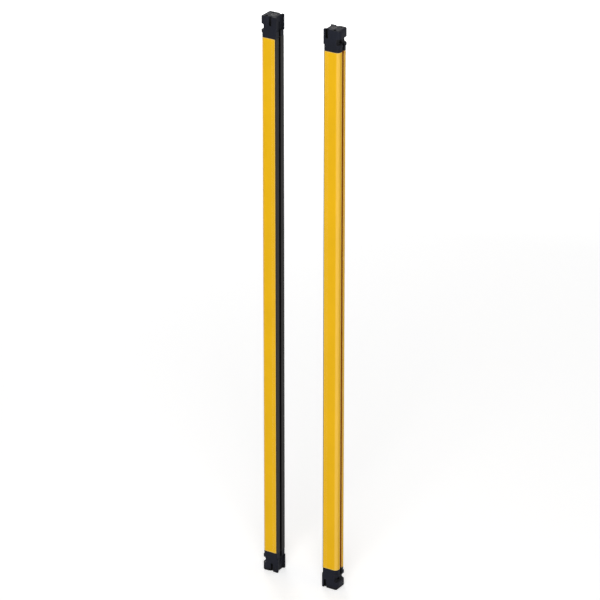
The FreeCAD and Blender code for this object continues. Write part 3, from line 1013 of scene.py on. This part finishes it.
class CURTAIN_OT_electronics(bpy.types.Operator):
    """Finish the circuit boards and model the chips and pin headers on them"""
    bl_idname = "curtain.electronics"
    bl_label = "Electronics"
    header_pins = 3  # pins across a header, in two rows

    def execute(self, context):
        sizes = context.scene.curtain_sizes
        paint_nodes("Circuit Board", "beam_board", "control_board")
        for bar in BARS:
            self.chips(bar + "_control_chips", sizes)
            self.header(bar + "_board_link")
        return {"FINISHED"}

    def chips(self, node, sizes):
        low, high, centre = box_of(node)
        width, height = square_size(node)
        body_width, leg = 0.78 * width, 0.11 * width
        body = add_block("body", (0.85 * height, body_width, width),
                         (centre.x, 0.0, low.z + width / 2))
        round_edges(body, lambda a, b: True, 0.04 * width, 1)
        paint(body, "Moulded Black")
        pitch = width / sizes.chip_legs
        parts = [body]
        for side in (-1, 1):
            place = (centre.x, side * (body_width / 2 + leg / 2), low.z + pitch / 2)
            legs = add_block("leg", (0.14 * height, leg, 0.4 * pitch), place)
            inset_faces(legs, facing(Vector((0.0, side, 0.0))), 0.01 * pitch)
            paint(legs, "Contact Plating")
            parts.append(repeat(legs, sizes.chip_legs, (0.0, 0.0, pitch)))
        chip = join(parts, node + "_legged")
        spacing = (high.z - low.z - width) / (sizes.chip_count - 1)
        hand_over(repeat(chip, sizes.chip_count, (0.0, 0.0, spacing)), [node])

    def header(self, node):
        low, high, centre = box_of(node)
        size = high - low
        body = add_block("body", (0.9 * size.x, size.y, size.z), centre)
        round_edges(body, lambda a, b: abs(a.x - b.x) > 0.5 * size.x, 0.08 * size.z, 1)
        paint(body, "Moulded Black")
        pitch = size.y / self.header_pins
        pin = add_block("pin", (size.x, 0.1 * size.y, 0.16 * size.z),
                        (centre.x, low.y + pitch / 2, low.z + size.z / 4))
        inset_faces(pin, lambda at, normal: abs(normal.x) > ALIGNED, 0.02 * size.z)
        paint(pin, "Contact Plating")
        repeat(repeat(pin, self.header_pins, (0.0, pitch, 0.0)), 2, (0.0, 0.0, size.z / 2))
        hand_over(join([body, pin], node + "_pinned"), [node])


class CURTAIN_OT_stage(bpy.types.Operator):
    """Set the pale floor, the soft lights and the camera"""
    bl_idname = "curtain.stage"
    bl_label = "Stage"
    floor_width, sight = 120.0, 200.0  # metres; the camera sees no further
    near, far = 1.6, 4.5  # metres from the bars between which the floor turns white
    light_target = Vector((0.0, 0.0, 0.5))
    light_places = {"key": ((1.9, -3.65, 3.4), 3.0), "low": ((2.3, -4.1, 0.9), 1.6),
                    "back": ((-3.4, 3.7, 0.9), 1.8)}  # name: (place, width)

    def execute(self, context):
        stage = context.scene.curtain_stage
        self.floor(stage)
        self.world(context.scene, stage)
        for name, (place, width) in self.light_places.items():
            self.light(name, place, width, getattr(stage, name + "_power"))
        self.camera(context.scene, stage)
        context.scene.view_settings.view_transform = "Standard"
        return {"FINISHED"}

    def seen(self, tree):
        """1 for what the camera sees directly, in a reflection or through glass."""
        path = add_node(tree, "ShaderNodeLightPath").outputs
        mirrored = calculate(tree, "MAXIMUM", path["Is Camera Ray"], path["Is Glossy Ray"])
        return calculate(tree, "MAXIMUM", mirrored, path["Is Transmission Ray"])

    def floor(self, stage):
        floor = add_piece("floor", bpy.ops.mesh.primitive_plane_add, size=self.floor_width,
                          location=ORIGIN)
        material, tree, shader = new_material("Pale Floor", {
            "Base Color": opaque(stage.floor_colour), "Roughness": 0.9, "Specular IOR Level": 0.1,
            "Emission Color": WHITE})
        place = add_node(tree, "ShaderNodeTexCoord").outputs["Object"]
        away = add_node(tree, "ShaderNodeVectorMath", {0: place}, operation="LENGTH")
        level = remap(tree, away.outputs["Value"], (self.near, self.far), (stage.floor_lift, 1.0))
        tree.links.new(times(tree, self.seen(tree), level), shader.inputs["Emission Strength"])
        paint(floor, material.name)

    def world(self, scene, stage):
        world = scene.world = bpy.data.worlds.new("Studio")
        world.use_nodes = True
        tree = world.node_tree
        background = next(node for node in tree.nodes if node.type == "BACKGROUND")
        background.inputs["Color"].default_value = WHITE
        strength = remap(tree, self.seen(tree), (0.0, 1.0), (stage.ambient, 1.0))
        tree.links.new(strength, background.inputs["Strength"])

    def light(self, name, place, width, strength):
        aim = self.light_target - Vector(place)
        select_only(None)
        bpy.ops.object.light_add(type="AREA", location=place,
                                 rotation=aim.to_track_quat("-Z", "Y").to_euler())
        light = named(bpy.context.active_object, name)
        light.data.size = width
        light.data.energy = strength

    def camera(self, scene, stage):
        aim = Vector((stage.aim_side, 0.0, stage.aim_height))
        level = math.cos(stage.elevation)
        back = Vector((math.sin(stage.azimuth) * level, -math.cos(stage.azimuth) * level,
                       math.sin(stage.elevation)))
        select_only(None)
        bpy.ops.object.camera_add(location=aim + back * stage.distance,
                                  rotation=(-back).to_track_quat("-Z", "Y").to_euler())
        scene.camera = bpy.context.active_object
        scene.camera.name = "camera"
        scene.camera.data.lens = stage.lens
        scene.camera.data.clip_end = self.sight


class CURTAIN_PT_panel(bpy.types.Panel):
    """Lists the steps in the order they are taken, and their values"""
    bl_idname = "CURTAIN_PT_panel"
    bl_label = "Light Curtain"
    bl_space_type = "VIEW_3D"
    bl_region_type = "UI"
    bl_category = "Light Curtain"

    def draw(self, context):
        for step in STEPS:
            self.layout.operator(step.bl_idname)
        for group in GROUPS:
            box = self.layout.box()
            values = getattr(context.scene, group)
            for key in type(values).__annotations__:
                box.prop(values, key)


STEPS = (CURTAIN_OT_extrusions, CURTAIN_OT_optics, CURTAIN_OT_end_caps, CURTAIN_OT_gaskets,
         CURTAIN_OT_cap_screws, CURTAIN_OT_port_covers, CURTAIN_OT_cable_ports,
         CURTAIN_OT_beam_diodes, CURTAIN_OT_status_lamps, CURTAIN_OT_electronics, CURTAIN_OT_stage)
GROUPS = {"curtain_sizes": CurtainSizes, "curtain_finish": CurtainFinish,
          "curtain_stage": CurtainStage}
CLASSES = tuple(GROUPS.values()) + STEPS + (CURTAIN_PT_panel,)


def register():
    for part in CLASSES:
        bpy.utils.register_class(part)
    for name, group in GROUPS.items():
        setattr(bpy.types.Scene, name, PointerProperty(type=group))


def unregister():
    for name in GROUPS:
        delattr(bpy.types.Scene, name)
    for part in reversed(CLASSES):
        bpy.utils.unregister_class(part)


def main():
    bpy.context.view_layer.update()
    register()
    for step in STEPS:
        group, name = step.bl_idname.split(".")
        getattr(getattr(bpy.ops, group), name)()


if __name__ == "__main__":
    main()
